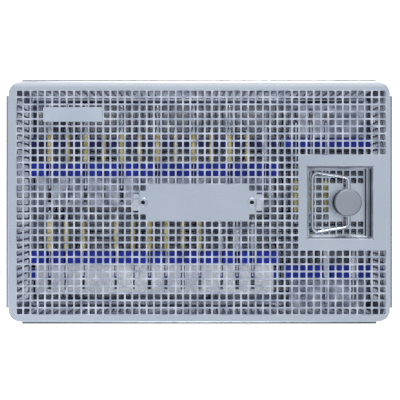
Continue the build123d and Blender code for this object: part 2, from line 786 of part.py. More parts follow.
# Guides: two straps under the pocket floor that the bolt slides in
guide_under = bolt_under - slide_gap - sheet
guide_inner = bolt_width + 2 * slide_gap
guide_step = crank_r + slide_gap + guide_length / 2
with BuildPart() as bolt_guides:
    with BuildSketch(Plane.XY.offset(guide_under)):
        with Locations((knob_x - guide_step, field_y), (knob_x + guide_step, field_y)):
            Rectangle(guide_length, guide_inner + 2 * sheet)
    extrude(amount=pocket_floor_under - guide_under)
    with BuildSketch(Plane.XY.offset(guide_under + sheet)):
        with Locations((knob_x, field_y)):
            Rectangle(2 * guide_step + guide_length, guide_inner)
    extrude(amount=pocket_floor_under - guide_under - sheet, mode=Mode.SUBTRACT)
save(bolt_guides, "bolt_guides")
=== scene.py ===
import math

import bmesh
import bpy
from mathutils import Matrix, Vector


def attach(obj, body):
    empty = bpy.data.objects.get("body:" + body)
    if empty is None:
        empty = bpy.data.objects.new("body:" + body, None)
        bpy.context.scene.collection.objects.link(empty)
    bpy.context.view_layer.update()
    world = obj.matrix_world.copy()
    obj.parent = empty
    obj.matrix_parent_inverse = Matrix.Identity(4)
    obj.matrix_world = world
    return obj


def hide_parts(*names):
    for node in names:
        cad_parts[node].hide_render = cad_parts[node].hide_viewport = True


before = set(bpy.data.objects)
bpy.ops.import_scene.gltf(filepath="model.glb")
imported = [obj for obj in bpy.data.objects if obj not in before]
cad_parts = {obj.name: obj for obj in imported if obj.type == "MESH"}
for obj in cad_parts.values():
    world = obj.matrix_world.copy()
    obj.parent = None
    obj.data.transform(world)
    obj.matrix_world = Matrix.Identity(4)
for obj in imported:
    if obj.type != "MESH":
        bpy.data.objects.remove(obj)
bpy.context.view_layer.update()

# Implant surgical kit, seen from straight above. Sizes below are in millimetres.
MM = 0.001
SHEET = 1.0
PITCH = 5.35
HOLE = 4.15
HOLE_CORNER = 0.6
LID_UNDER = 50.3
LID_TOP = 51.3
FIELD_X = 1.4
FIELD_Y = -0.5
FIELD_COLUMNS = 51
FIELD_ROWS = 31
NAME_X = -1.275
NAME_COLUMNS = 16
NAME_ROWS = 5
RIVET_REACH = 40.125
RIVET_HOLE = 1.95
LATCH_X = 110.0
LATCH_PLAIN_X = 105.7
LATCH_PLAIN_COLUMNS = 12
LATCH_PLAIN_ROWS = 13
POCKET_X = 103.8
POCKET_LENGTH = 48.2
POCKET_WIDTH = 53.2
POCKET_LIP = 0.6
POCKET_BEND = 2.2
POCKET_CORNER = 1.0
POCKET_FLOOR = 36.3
POCKET_HOLES = (5.25, 5.5)
SLOT_REACH = 25.4
SLOT_HEIGHTS = (39.9, 46.7)
WALL_X = 137.6
WALL_Y = 85.1
WALL_TOP = 49.5
WALL_CORNER = 5.25
WALL_BEND = 4.0
WALL_ROWS = 8
NOTCH_HALF = 8
NOTCH_DEPTH = 6.4
NOTCH_PLAIN = 13.0
FOOT = 2.0
BEND_STEPS = 6
RIM_X = 139.35
RIM_Y = 86.85
RIM_Z = 48.25
RIM_CORNER = 7.0
RIM_R = 1.75
BAIL_Z = 44.5
BAIL_R = 1.2
AXIS_HEIGHT = 23.3
SHANK_R = 1.175
SHANK_LENGTH = 19.0
BODY_R = 2.1
BODY_LENGTH = 23.5
TIP_R = 1.5
ROW_X = -116.0
REAR_STEP = 13.95
FRONT_STEP = 12.9016
REAR_Y = 10.2
FRONT_Y = -57.8
SIDE_Y = -78.8

# Places in the materials, and the camera's height above the lid, in metres
FRONT_REFLECTION_BAND_Y = -0.0865
NAME_HALF = (0.0425, 0.0134, 1)
LATCH_HALF = (0.0321, 0.0348, 1)
UNDER_TRAY_HALF = (0.137, 0.0845, 1)
CAMERA_ABOVE_LID = 0.52


# Nodes and shader groups shared by the materials

def add_node(tree, kind, inputs, **settings):
    """A new node; each input takes a plain value or the socket that feeds it."""
    node = tree.nodes.new(kind)
    for name, value in settings.items():
        setattr(node, name, value)
    for socket, value in inputs.items():
        if isinstance(value, bpy.types.NodeSocket):
            tree.links.new(value, node.inputs[socket])
        else:
            node.inputs[socket].default_value = value
    return node


def math_node(tree, operation, *values):
    """The result of a math node on sockets or numbers."""
    inputs = dict(enumerate(values))
    return add_node(tree, "ShaderNodeMath", inputs, operation=operation).outputs[0]


def vector_node(tree, operation, *values):
    """The result of a vector math node on sockets or vectors."""
    inputs = dict(enumerate(values))
    return add_node(tree, "ShaderNodeVectorMath", inputs, operation=operation).outputs[0]


def split(tree, vector):
    """The three parts of a vector."""
    return add_node(tree, "ShaderNodeSeparateXYZ", {0: vector}).outputs


def ramp(tree, value, low, high):
    """Zero up to low and one from high on; it falls instead where high is the smaller."""
    inputs = {"Value": value, "From Min": low, "From Max": high}
    return add_node(tree, "ShaderNodeMapRange", inputs).outputs["Result"]


def colour_mix(tree, share, first, second):
    """A colour between two others, each a colour or a socket."""
    inputs = {0: share, 6: first, 7: second}
    return add_node(tree, "ShaderNodeMix", inputs, data_type="RGBA").outputs[2]


def inside_box(tree, place, middle, half):
    """One at a place inside a box seen from above, zero outside it."""
    parts = split(tree, vector_node(tree, "ABSOLUTE", vector_node(tree, "SUBTRACT", place, middle)))
    limits = split(tree, half)
    within = [math_node(tree, "LESS_THAN", parts[i], limits[i]) for i in range(2)]
    return math_node(tree, "MULTIPLY", *within)


def node_group(kind, name, inputs, outputs):
    """A node group with named sockets: (name, type, default) goes in, (name, type) comes out."""
    tree = bpy.data.node_groups.new(name, kind)
    for label, socket_kind, default in inputs:
        socket = tree.interface.new_socket(label, in_out="INPUT",
                                           socket_type="NodeSocket" + socket_kind)
        if default is not None:
            socket.default_value = default
    for label, socket_kind in outputs:
        tree.interface.new_socket(label, in_out="OUTPUT", socket_type="NodeSocket" + socket_kind)
    given = tree.nodes.new("NodeGroupInput").outputs
    return tree, given, tree.nodes.new("NodeGroupOutput").inputs


def brushed_grain():
    """Fine parallel scratches, stretched along one direction, as a mask and a roughness."""
    tree, given, out = node_group(
        "ShaderNodeTree", "Brushed grain",
        [("Coordinates", "Vector", None), ("Stretch", "Vector", (1, 1, 1)),
         ("Scale", "Float", 900.0), ("Smoothest", "Float", 0.25), ("Roughest", "Float", 0.45)],
        [("Mask", "Float"), ("Roughness", "Float")])
    stretch = vector_node(tree, "MULTIPLY", given["Coordinates"], given["Stretch"])
    grain = add_node(tree, "ShaderNodeTexNoise",
                     {"Vector": stretch, "Scale": given["Scale"], "Detail": 3.0}).outputs[0]
    smudge = add_node(tree, "ShaderNodeTexNoise",
                      {"Vector": given["Coordinates"], "Scale": 28.0, "Detail": 2.0}).outputs[0]
    blend = math_node(tree, "MULTIPLY_ADD", smudge, 0.45, math_node(tree, "MULTIPLY", grain, 0.55))
    span = add_node(tree, "ShaderNodeMapRange",
                    {"Value": blend, "From Min": 0.3, "From Max": 0.7,
                     "To Min": given["Smoothest"], "To Max": given["Roughest"]})
    tree.links.new(grain, out["Mask"])
    tree.links.new(span.outputs["Result"], out["Roughness"])
    return tree


def clouding():
    """Slow drift between two close colours, with a little fine mottle."""
    tree, given, out = node_group(
        "ShaderNodeTree", "Clouding",
        [("Coordinates", "Vector", None), ("Scale", "Float", 20.0),
         ("Colour A", "Color", (0.5, 0.5, 0.5, 1)), ("Colour B", "Color", (0.6, 0.6, 0.6, 1))],
        [("Colour", "Color")])
    slow = add_node(tree, "ShaderNodeTexNoise",
                    {"Vector": given["Coordinates"], "Scale": given["Scale"], "Detail": 4.0})
    share = ramp(tree, slow.outputs[0], 0.35, 0.65)
    tree.links.new(colour_mix(tree, share, given["Colour A"], given["Colour B"]), out["Colour"])
    return tree


def zone_mask():
    """One inside a box seen from above, zero outside it, from the object's own coordinates."""
    tree, given, out = node_group(
        "ShaderNodeTree", "Zone mask",
        [("Coordinates", "Vector", None), ("Middle", "Vector", (0, 0, 0)),
         ("Half size", "Vector", (1, 1, 1))],
        [("Mask", "Float")])
    inside = inside_box(tree, given["Coordinates"], given["Middle"], given["Half size"])
    tree.links.new(inside, out["Mask"])
    return tree


GRAIN = brushed_grain()
CLOUDS = clouding()
ZONE = zone_mask()


def clouds(tree, place, scale, colour_a, colour_b):
    """The colour of the clouding group, set for one material."""
    inputs = {"Coordinates": place, "Scale": scale,
              "Colour A": (*colour_a, 1), "Colour B": (*colour_b, 1)}
    return add_node(tree, "ShaderNodeGroup", inputs, node_tree=CLOUDS).outputs["Colour"]


def finish_of(name, colour_a, colour_b, metallic, smoothest, roughest, stretch, grain, cloud,
              bump=0.05, depth=0.00002):
    """One material: clouded colour, grain in the roughness and a little bump."""
    material = bpy.data.materials.new(name)
    material.use_nodes = True
    tree = material.node_tree
    shader = tree.nodes["Principled BSDF"].inputs
    shader["Metallic"].default_value = metallic
    place = tree.nodes.new("ShaderNodeTexCoord").outputs["Object"]
    scratches = add_node(tree, "ShaderNodeGroup",
                         {"Coordinates": place, "Stretch": stretch, "Scale": grain,
                          "Smoothest": smoothest, "Roughest": roughest}, node_tree=GRAIN).outputs
    relief = add_node(tree, "ShaderNodeBump",
                      {"Strength": bump, "Distance": depth, "Height": scratches["Mask"]})
    tree.links.new(clouds(tree, place, cloud, colour_a, colour_b), shader["Base Color"])
    tree.links.new(scratches["Roughness"], shader["Roughness"])
    tree.links.new(relief.outputs["Normal"], shader["Normal"])
    return material


def colour_of(material):
    """A material's tree, its object coordinates, its colour input and what feeds that."""
    tree = material.node_tree
    place = next(node for node in tree.nodes if node.bl_idname == "ShaderNodeTexCoord")
    base = tree.nodes["Principled BSDF"].inputs["Base Color"]
    return tree, place.outputs["Object"], base, base.links[0].from_socket


def paint_bar_glints(material, zones, colour_a, colour_b):
    """Painted glints on the bars between the holes; the plain zones are left as they are."""
    tree, place, base, before = colour_of(material)
    plain = 0.0
    for middle, half in zones:
        inputs = {"Coordinates": place, "Middle": middle, "Half size": half}
        zone = add_node(tree, "ShaderNodeGroup", inputs, node_tree=ZONE)
        plain = math_node(tree, "MAXIMUM", plain, zone.outputs["Mask"])
    glints = clouds(tree, place, 130.0, colour_a, colour_b)
    tree.links.new(colour_mix(tree, plain, glints, before), base)


def paint_rear_highlight(material, low, high, colour):
    """Painted highlight: a light strip along the lid's rear border, between two places along y."""
    tree, place, base, before = colour_of(material)
    rise = ramp(tree, split(tree, place)[1], low, high)
    tree.links.new(colour_mix(tree, rise, before, (*colour, 1)), base)


def paint_bend_reflection(material, low, high, feather, colour, front_only=False):
    """Painted dark reflection on the lid's bend: a dark band between two heights, all round or
    along the front only.
    """
    tree, place, base, before = colour_of(material)
    parts = split(tree, place)
    band = math_node(tree, "MULTIPLY", ramp(tree, parts[2], high, high - feather),
                     ramp(tree, parts[2], low, low + feather))
    if front_only:
        in_front = math_node(tree, "LESS_THAN", parts[1], FRONT_REFLECTION_BAND_Y)
        band = math_node(tree, "MULTIPLY", band, in_front)
    tree.links.new(colour_mix(tree, band, before, (*colour, 1)), base)


# Finishes: two colours, metallic, smoothest and roughest, stretch, grain and cloud scale
ALONG_X = (0.06, 1, 1)
EVEN = (1, 1, 1)
FRAME_SATIN = finish_of(
    "Lid frame sheet", (0.54, 0.59, 0.66), (0.60, 0.645, 0.71),
    1.0, 0.24, 0.38, ALONG_X, 1500.0, 9.0)
# Painted highlight along the lid's rear border
paint_rear_highlight(FRAME_SATIN, 0.0840, 0.0880, (0.92, 0.94, 0.98))
# Painted dark reflection on the lid's bend, all round and wider along the front
paint_bend_reflection(FRAME_SATIN, 0.0494, 0.0509, 0.0004, (0.02, 0.025, 0.045))
paint_bend_reflection(FRAME_SATIN, 0.0490, 0.0512, 0.0002, (0.02, 0.025, 0.05), front_only=True)
SATIN = finish_of(
    "Satin sheet", (0.52, 0.57, 0.64), (0.60, 0.645, 0.71),
    1.0, 0.24, 0.42, ALONG_X, 1500.0, 9.0)
PIERCED_SATIN = finish_of(
    "Pierced sheet", (0.52, 0.57, 0.64), (0.60, 0.645, 0.71),
    1.0, 0.22, 0.40, ALONG_X, 1500.0, 9.0)
# Painted glints on the bars of the pierced field, not in its plain name and latch zones
paint_bar_glints(PIERCED_SATIN, [((NAME_X * MM, FIELD_Y * MM, 0), NAME_HALF),
                              ((LATCH_PLAIN_X * MM, FIELD_Y * MM, 0), LATCH_HALF)],
              (0.38, 0.42, 0.52), (0.76, 0.79, 0.88))
# Brighter copy of the sheet steel for the tray's walls: painted glints
GLINT_WALL_SATIN = finish_of(
    "Tray wall sheet with painted glints", (0.46, 0.49, 0.56), (0.74, 0.77, 0.82),
    1.0, 0.22, 0.38, ALONG_X, 1500.0, 120.0)
# Darker copy of the sheet steel for the tray's floor: painted shade inside the closed tray
SHADED_TRAY_SATIN = finish_of(
    "Shaded tray sheet", (0.015, 0.02, 0.04), (0.20, 0.23, 0.30),
    1.0, 0.24, 0.40, ALONG_X, 1500.0, 70.0)
BRIGHT_WIRE = finish_of(
    "Bright wire", (0.56, 0.59, 0.65), (0.66, 0.69, 0.75),
    1.0, 0.20, 0.34, EVEN, 700.0, 30.0)
# Darker copy of the bail's wire steel for the rim: painted shade along the outline
SHADED_RIM_STEEL = finish_of(
    "Shaded rim wire", (0.34, 0.38, 0.45), (0.44, 0.48, 0.55),
    1.0, 0.18, 0.32, EVEN, 700.0, 30.0)
RIVET_STEEL = finish_of(
    "Rivet steel", (0.44, 0.48, 0.54), (0.54, 0.58, 0.64),
    1.0, 0.40, 0.54, EVEN, 900.0, 60.0)
# Near-black for gaps, slots and bores: painted shade
PAINTED_SHADE = finish_of(
    "Painted shade", (0.012, 0.014, 0.022), (0.03, 0.034, 0.045),
    0.5, 0.45, 0.65, EVEN, 900.0, 30.0)
POCKET_SATIN = finish_of(
    "Pocket wall sheet", (0.40, 0.43, 0.49), (0.54, 0.58, 0.64),
    0.6, 0.36, 0.52, ALONG_X, 1500.0, 40.0)
# Darker steel for the racks and rails inside the tray: painted shade
SHADED_RAIL_STEEL = finish_of(
    "Rail sheet", (0.10, 0.12, 0.17), (0.40, 0.43, 0.50),
    1.0, 0.24, 0.42, (0.05, 1, 1), 1400.0, 60.0)
COMB_STEEL = finish_of(
    "Comb sheet", (0.16, 0.18, 0.24), (0.66, 0.69, 0.76),
    1.0, 0.30, 0.50, (1, 0.06, 1), 1300.0, 110.0)
# Near-white copy of the comb steel for the front comb: painted highlight
HIGHLIT_COMB = finish_of(
    "Highlit comb sheet", (0.72, 0.75, 0.80), (1.0, 1.0, 1.0),
    0.25, 0.28, 0.48, (1, 0.06, 1), 1300.0, 26.0)
SILICONE = finish_of(
    "Blue silicone", (0.001, 0.016, 0.34), (0.003, 0.030, 0.52),
    0.0, 0.38, 0.55, EVEN, 500.0, 30.0, 0.12, 0.00003)
NAVY_SILICONE = finish_of(
    "Navy silicone", (0.001, 0.003, 0.05), (0.002, 0.008, 0.14),
    0.0, 0.42, 0.60, EVEN, 500.0, 160.0, 0.12, 0.00003)
GOLD_COAT = finish_of(
    "Gold coating", (0.60, 0.50, 0.19), (1.0, 0.90, 0.48),
    0.40, 0.30, 0.46, (1, 0.1, 1), 1200.0, 150.0)
TOOL_STEEL = finish_of(
    "Turned steel", (0.66, 0.69, 0.74), (0.78, 0.80, 0.84),
    1.0, 0.24, 0.40, (1, 0.1, 1), 1200.0, 50.0)
KNOB_GREY = finish_of(
    "Blasted grey", (0.31, 0.335, 0.375), (0.35, 0.375, 0.415),
    0.85, 0.48, 0.62, EVEN, 1800.0, 40.0, 0.15, 0.00003)
PLAIN_STEEL = finish_of(
    "Plain steel", (0.58, 0.61, 0.66), (0.66, 0.69, 0.73),
    1.0, 0.22, 0.38, EVEN, 900.0, 20.0)
PLATE_METAL = finish_of(
    "Plate metal", (0.53, 0.585, 0.66), (0.58, 0.635, 0.71),
    0.9, 0.34, 0.48, ALONG_X, 1500.0, 30.0)
FOOT_PLASTIC = finish_of(
    "Foot plastic", (0.020, 0.022, 0.026), (0.035, 0.037, 0.042),
    0.0, 0.45, 0.60, EVEN, 700.0, 30.0, 0.2, 0.00005)

NODE_FINISH = {"lid_frame": FRAME_SATIN, "lid_hooks": SATIN, "feet": FOOT_PLASTIC}
for name in ("keeper", "name_bar", "bolt_guides", "latch_spindle", "latch_crank", "latch_bolt"):
    NODE_FINISH[name] = PLAIN_STEEL
for name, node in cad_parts.items():
    finish = NODE_FINISH.get(name)
    if name.endswith("strip"):
        finish = NAVY_SILICONE if name == "rear_second_strip" else SILICONE
    if name.endswith("comb_plate"):
        finish = HIGHLIT_COMB if name == "front_comb_plate" else COMB_STEEL
    if name.endswith("rack") or name.endswith("rail"):
        finish = SHADED_RAIL_STEEL
    if finish:
        node.data.materials.clear()
        node.data.materials.append(finish)


# Pieces

def piece(name, mesh, body, finish, slot, *replaced, smooth=False):
    """Put a finished mesh, given in millimetres, on a body, in place of the nodes named."""
    mesh.name = name
    mesh.transform(Matrix.Scale(MM, 4))
    if not mesh.materials:
        mesh.materials.append(finish)
    if smooth:
        for face in mesh.polygons:
            face.use_smooth = True
    obj = bpy.data.objects.new(name, mesh)
    bpy.context.scene.collection.objects.link(obj)
    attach(obj, body)
    if replaced:
        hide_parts(*replaced)
    return obj


def outline_mesh(name, loops):
    """Closed outlines in the XY plane as loops of edges."""
    mesh = bpy.data.meshes.new(name)
    points = []
    edges = []
    for loop in loops:
        first = len(points)
        points += [(x, y, 0) for x, y in loop]
        edges += [(first + i, first + (i + 1) % len(loop)) for i in range(len(loop))]
    mesh.from_pydata(points, edges, [])
    return mesh


def rectangle(x, y, length, width):
    """Corners of a rectangle about a middle."""
    return [(x - length / 2, y - width / 2), (x + length / 2, y - width / 2),
            (x + length / 2, y + width / 2), (x - length / 2, y + width / 2)]


def ring(x, y, radius, count=24):
    """Points round a circle."""
    turns = [2 * math.pi * i / count for i in range(count)]
    return [(x + radius * math.cos(turn), y + radius * math.sin(turn)) for turn in turns]


def geometry_group(name, inputs):
    """A geometry node tree that takes and gives geometry, with named inputs."""
    return node_group("GeometryNodeTree", name, [("Geometry", "Geometry", None)] + inputs,
                      [("Geometry", "Geometry")])


def joined_geometry(tree, *sockets):
    """Several geometries as one."""
    join = tree.nodes.new("GeometryNodeJoinGeometry")
    for socket in sockets:
        tree.links.new(socket, join.inputs["Geometry"])
    return join.outputs["Geometry"]


def finished(tree, given, out, geometry):
    """End of a tree: real geometry that carries the given finish."""
    real = add_node(tree, "GeometryNodeRealizeInstances", {"Geometry": geometry})
    coated = add_node(tree, "GeometryNodeSetMaterial",
                      {"Geometry": real.outputs["Geometry"], "Material": given["Finish"]})
    tree.links.new(coated.outputs["Geometry"], out["Geometry"])
    return tree


def perforated_sheet():
    """Sheet in the given outlines, pierced by a grid of square holes outside three plain areas."""
    areas = [(f"Plain {letter} {what}", "Vector", (0, 0, 0))
             for letter in "ABC" for what in ("middle", "size")]
    tree, given, out = geometry_group("Perforated sheet", [
        ("Columns", "Int", 10), ("Rows", "Int", 10), ("Pitch", "Float", PITCH),
        ("Row pitch", "Float", PITCH), ("Hole", "Float", HOLE),
        ("Hole corner", "Float", HOLE_CORNER), ("Thickness", "Float", SHEET),
        ("Middle", "Vector", (0, 0, 0)), *areas,
        ("Finish", "Material", None)])

    def span(count, pitch):
        gaps = math_node(tree, "SUBTRACT", given[count], 1)
        return math_node(tree, "MULTIPLY", gaps, given[pitch])

    grid = add_node(tree, "GeometryNodeMeshGrid",
                    {"Vertices X": given["Columns"], "Vertices Y": given["Rows"],
                     "Size X": span("Columns", "Pitch"), "Size Y": span("Rows", "Row pitch")})
    shift = add_node(tree, "GeometryNodeSetPosition",
                     {"Geometry": grid.outputs["Mesh"], "Offset": given["Middle"]})
    place = tree.nodes.new("GeometryNodeInputPosition").outputs[0]
    plain = 0.0
    for letter in "ABC":
        half = add_node(tree, "ShaderNodeVectorMath",
                        {0: given[f"Plain {letter} size"], "Scale": 0.5}, operation="SCALE")
        area = inside_box(tree, place, given[f"Plain {letter} middle"], half.outputs[0])
        plain = math_node(tree, "MAXIMUM", plain, area)
    keep = add_node(tree, "GeometryNodeDeleteGeometry",
                    {"Geometry": shift.outputs["Geometry"], "Selection": plain})
    hole = add_node(tree, "GeometryNodeCurvePrimitiveQuadrilateral",
                    {"Width": given["Hole"], "Height": given["Hole"]})
    soften = add_node(tree, "GeometryNodeFilletCurve",
                      {"Curve": hole.outputs["Curve"], "Radius": given["Hole corner"], "Count": 2},
                      mode="POLY")
    pierce = add_node(tree, "GeometryNodeInstanceOnPoints",
                      {"Points": keep.outputs["Geometry"], "Instance": soften.outputs["Curve"]})
    holes = add_node(tree, "GeometryNodeRealizeInstances",
                     {"Geometry": pierce.outputs["Instances"]})
    outline = add_node(tree, "GeometryNodeMeshToCurve", {"Mesh": given["Geometry"]})
    curves = joined_geometry(tree, holes.outputs["Geometry"], outline.outputs["Curve"])
    face = add_node(tree, "GeometryNodeFillCurve", {"Curve": curves}).outputs["Mesh"]
    upward = add_node(tree, "ShaderNodeCombineXYZ", {"Z": 1.0})
    raised = add_node(tree, "GeometryNodeExtrudeMesh",
                      {"Mesh": face, "Offset": upward.outputs[0],
                       "Offset Scale": given["Thickness"], "Individual": False}, mode="FACES")
    under = add_node(tree, "GeometryNodeFlipFaces", {"Mesh": face})
    both = joined_geometry(tree, raised.outputs["Mesh"], under.outputs["Mesh"])
    weld = add_node(tree, "GeometryNodeMergeByDistance", {"Geometry": both, "Distance": 0.001})
    return finished(tree, given, out, weld.outputs["Geometry"])


def row_of_copies():
    """Copies of the given piece in a straight row, with one place left empty."""
    tree, given, out = geometry_group("Row of copies", [
        ("Count", "Int", 1), ("Step", "Vector", (0, 0, 0)), ("First", "Vector", (0, 0, 0)),
        ("Empty place", "Int", -1), ("Finish", "Material", None)])
    line = add_node(tree, "GeometryNodeMeshLine",
                    {"Count": given["Count"], "Start Location": given["First"],
                     "Offset": given["Step"]})
    order = tree.nodes.new("GeometryNodeInputIndex").outputs[0]
    away = math_node(tree, "ABSOLUTE", math_node(tree, "SUBTRACT", order, given["Empty place"]))
    left = add_node(tree, "GeometryNodeDeleteGeometry",
                    {"Geometry": line.outputs["Mesh"],
                     "Selection": math_node(tree, "LESS_THAN", away, 0.5)})
    copies = add_node(tree, "GeometryNodeInstanceOnPoints",
                      {"Points": left.outputs["Geometry"], "Instance": given["Geometry"]})
    return finished(tree, given, out, copies.outputs["Instances"])


def grown(mesh, tree, values):
    """Run a node tree on a mesh, with its inputs set by name, and return the plain result."""
    seed = bpy.data.objects.new("seed", mesh)
    bpy.context.scene.collection.objects.link(seed)
    modifier = seed.modifiers.new("tree", "NODES")
    modifier.node_group = tree
    for item in tree.interface.items_tree:
        if item.item_type == "SOCKET" and item.in_out == "INPUT" and item.name in values:
            modifier[item.identifier] = values[item.name]
    evaluated = seed.evaluated_get(bpy.context.evaluated_depsgraph_get())
    result = bpy.data.meshes.new_from_object(evaluated)
    seed.modifiers.remove(modifier)
    bpy.data.objects.remove(seed)
    return result


SHEET_TREE = perforated_sheet()
ROW_TREE = row_of_copies()


def perforated(outline, columns, rows, finish, middle=(0, 0, 0), plain=(), pitch=(PITCH, PITCH)):
    """Flat pierced sheet on the XY plane, its underside at zero; plain areas are (middle, size)."""
    values = {"Columns": columns, "Rows": rows, "Middle": middle, "Finish": finish,
              "Pitch": pitch[0], "Row pitch": pitch[1]}
    for letter, (centre, size) in zip("ABC", plain):
        values["Plain " + letter + " middle"] = centre
        values["Plain " + letter + " size"] = size
    return grown(outline_mesh("outline", outline), SHEET_TREE, values)


# Lid: the pierced field with its plain areas, the pocket's opening and the rivet holes
lid_outline = [rectangle(FIELD_X, FIELD_Y, FIELD_COLUMNS * PITCH, FIELD_ROWS * PITCH),
               rectangle(POCKET_X, FIELD_Y, POCKET_LENGTH + 2 * POCKET_LIP,
                         POCKET_WIDTH + 2 * POCKET_LIP),
               ring(NAME_X - RIVET_REACH, FIELD_Y, RIVET_HOLE),
               ring(NAME_X + RIVET_REACH, FIELD_Y, RIVET_HOLE)]
lid_plain = [((x, FIELD_Y, 0), (columns * PITCH, rows * PITCH, 1)) for x, columns, rows in
             ((NAME_X, NAME_COLUMNS, NAME_ROWS - 2), (NAME_X, NAME_COLUMNS - 2, NAME_ROWS),
              (LATCH_PLAIN_X, LATCH_PLAIN_COLUMNS, LATCH_PLAIN_ROWS))]
lid_field = perforated(lid_outline, FIELD_COLUMNS, FIELD_ROWS, PIERCED_SATIN,
                       (FIELD_X, FIELD_Y, 0), lid_plain)
lid_field.transform(Matrix.Translation((0, 0, LID_UNDER)))
piece("lid_pierced_field", lid_field, "lid", PIERCED_SATIN, "sheet_steel", "lid_mesh")


def closed_mesh(name, whole):
    """Mesh of a bmesh, with its normals made to point outwards."""
    bmesh.ops.recalc_face_normals(whole, faces=whole.faces)
    mesh = bpy.data.meshes.new(name)
    whole.to_mesh(mesh)
    whole.free()
    return mesh


def skin(name, rows, wrap=False):
    """Closed mesh over rings of points; its ends are capped, or meet where it wraps round."""
    whole = bmesh.new()
    rings = [[whole.verts.new(point) for point in row] for row in rows]
    for low, high in zip(rings, rings[1:] + rings[:1] if wrap else rings[1:]):
        for i in range(len(low)):
            j = (i + 1) % len(low)
            whole.faces.new((low[i], low[j], high[j], high[i]))
    if not wrap:
        whole.faces.new(rings[0])
        whole.faces.new(rings[-1][::-1])
    return closed_mesh(name, whole)


def joined(meshes, finish):
    """One mesh from several."""
    whole = bmesh.new()
    for mesh in meshes:
        whole.from_mesh(mesh)
    result = closed_mesh("joined", whole)
    result.materials.append(finish)
    return result


def foot_bend(x, side):
    """Section of the wall's bend into its foot: along the outside, and back inside."""
    turns = [math.radians(90 * i / BEND_STEPS) for i in range(BEND_STEPS + 1)]
    low = FOOT + WALL_BEND
    outside, inside = ([(x + side * radius * math.cos(turn), low - radius * math.sin(turn))
                        for turn in turns] for radius in (WALL_BEND, WALL_BEND - SHEET))
    return outside + inside[::-1]


def bent_foot(run):
    """The wall's foot bent inward: along x, with its outside at y zero and inward as +y."""
    section = foot_bend(WALL_BEND, -1)
    return skin("foot", [[(x, y, z) for y, z in section] for x in (-run / 2, run / 2)])


def shaded(mesh, angle=40):
    """Smooth shading that keeps edges sharper than the angle."""
    mesh.shade_smooth()
    mesh.set_sharp_from_angle(angle=math.radians(angle))
    return mesh


def tray_wall(turn, outer, run, notches):
    """Pierced upright wall with its bent foot, turned to one side of the tray."""
    low = FOOT + WALL_BEND
    middle = (low + WALL_TOP) / 2
    height = WALL_TOP - low
    outline = [(-run / 2, -height / 2), (run / 2, -height / 2)]
    top = [(run / 2, height / 2), (-run / 2, height / 2)]
    for centre in sorted(notches, reverse=True):
        left, right, low_edge = centre - NOTCH_HALF, centre + NOTCH_HALF, height / 2 - NOTCH_DEPTH
        top[-1:-1] = [(right, height / 2), (right, low_edge), (left, low_edge), (left, height / 2)]
    plain = [((0, height / 2, 0), (run * 2, NOTCH_PLAIN, 1))] if notches else []
    sheet = perforated([outline + top], int(run / PITCH), WALL_ROWS, GLINT_WALL_SATIN, plain=plain)
    upright = Matrix(((1, 0, 0, 0), (0, 0, -1, SHEET), (0, 1, 0, middle), (0, 0, 0, 1)))
    sheet.transform(upright)
    wall = joined([sheet, bent_foot(run)], GLINT_WALL_SATIN)
    wall.transform(Matrix.Rotation(math.radians(turn + 90), 4, "Z")
                   @ Matrix.Translation((0, -outer, 0)))
    return wall


long_run = 2 * (WALL_X - WALL_CORNER)
short_run = 2 * (WALL_Y - WALL_CORNER)
for side, turn, outer, run, notches in (
        ("front", 270, WALL_Y, long_run, ()), ("rear", 90, WALL_Y, long_run, ()),
        ("right", 0, WALL_X, short_run, ()), ("left", 180, WALL_X, short_run, (-52.0, 52.0))):
    piece("tray_pierced_wall_" + side, tray_wall(turn, outer, run, notches), "tray", GLINT_WALL_SATIN,
          "sheet_steel", "tray_wall_" + side)


def rounded_rectangle(length, width, radius, steps=4):
    """Points round a rectangle with rounded corners."""
    points = []
    for cx, cy, start in ((1, 1, 0), (-1, 1, 90), (-1, -1, 180), (1, -1, 270)):
        for i in range(steps + 1):
            angle = math.radians(start + 90 * i / steps)
            points.append((cx * (length / 2 - radius) + radius * math.cos(angle),
                           cy * (width / 2 - radius) + radius * math.sin(angle)))
    return points


floor_length = 2 * (WALL_X - WALL_BEND)
floor_width = 2 * (WALL_Y - WALL_BEND)
floor_outline = rounded_rectangle(floor_length, floor_width, WALL_CORNER - WALL_BEND)
# The floor's finish is a darkened copy of the sheet: painted shade
tray_floor = perforated([floor_outline], 49, 29, SHADED_TRAY_SATIN)
tray_floor.transform(Matrix.Translation((0, 0, FOOT)))
piece("tray_pierced_floor", tray_floor, "tray", SHADED_TRAY_SATIN, "sheet_steel", "tray_floor")


def quarter_turn(section, turn, x, y):
    """Closed section (radius, height) swept a quarter turn about an upright axis."""
    rows = []
    for k in range(9):
        angle = math.radians(turn + 90 * k / 8)
        rows.append([(x + r * math.cos(angle), y + r * math.sin(angle), z) for r, z in section])
    return skin("quarter", rows)


corner_section = [(WALL_CORNER, WALL_TOP), *foot_bend(WALL_CORNER - WALL_BEND, 1),
                  (WALL_CORNER - SHEET, WALL_TOP)]
corner_x = WALL_X - WALL_CORNER
corner_y = WALL_Y - WALL_CORNER
corners = [quarter_turn(corner_section, turn, sx * corner_x, sy * corner_y)
           for turn, sx, sy in ((0, 1, 1), (90, -1, 1), (180, -1, -1), (270, 1, -1))]
tray_corners = shaded(joined(corners, SATIN))
piece("tray_round_corners", tray_corners, "tray", SATIN, "sheet_steel", "tray_corners")

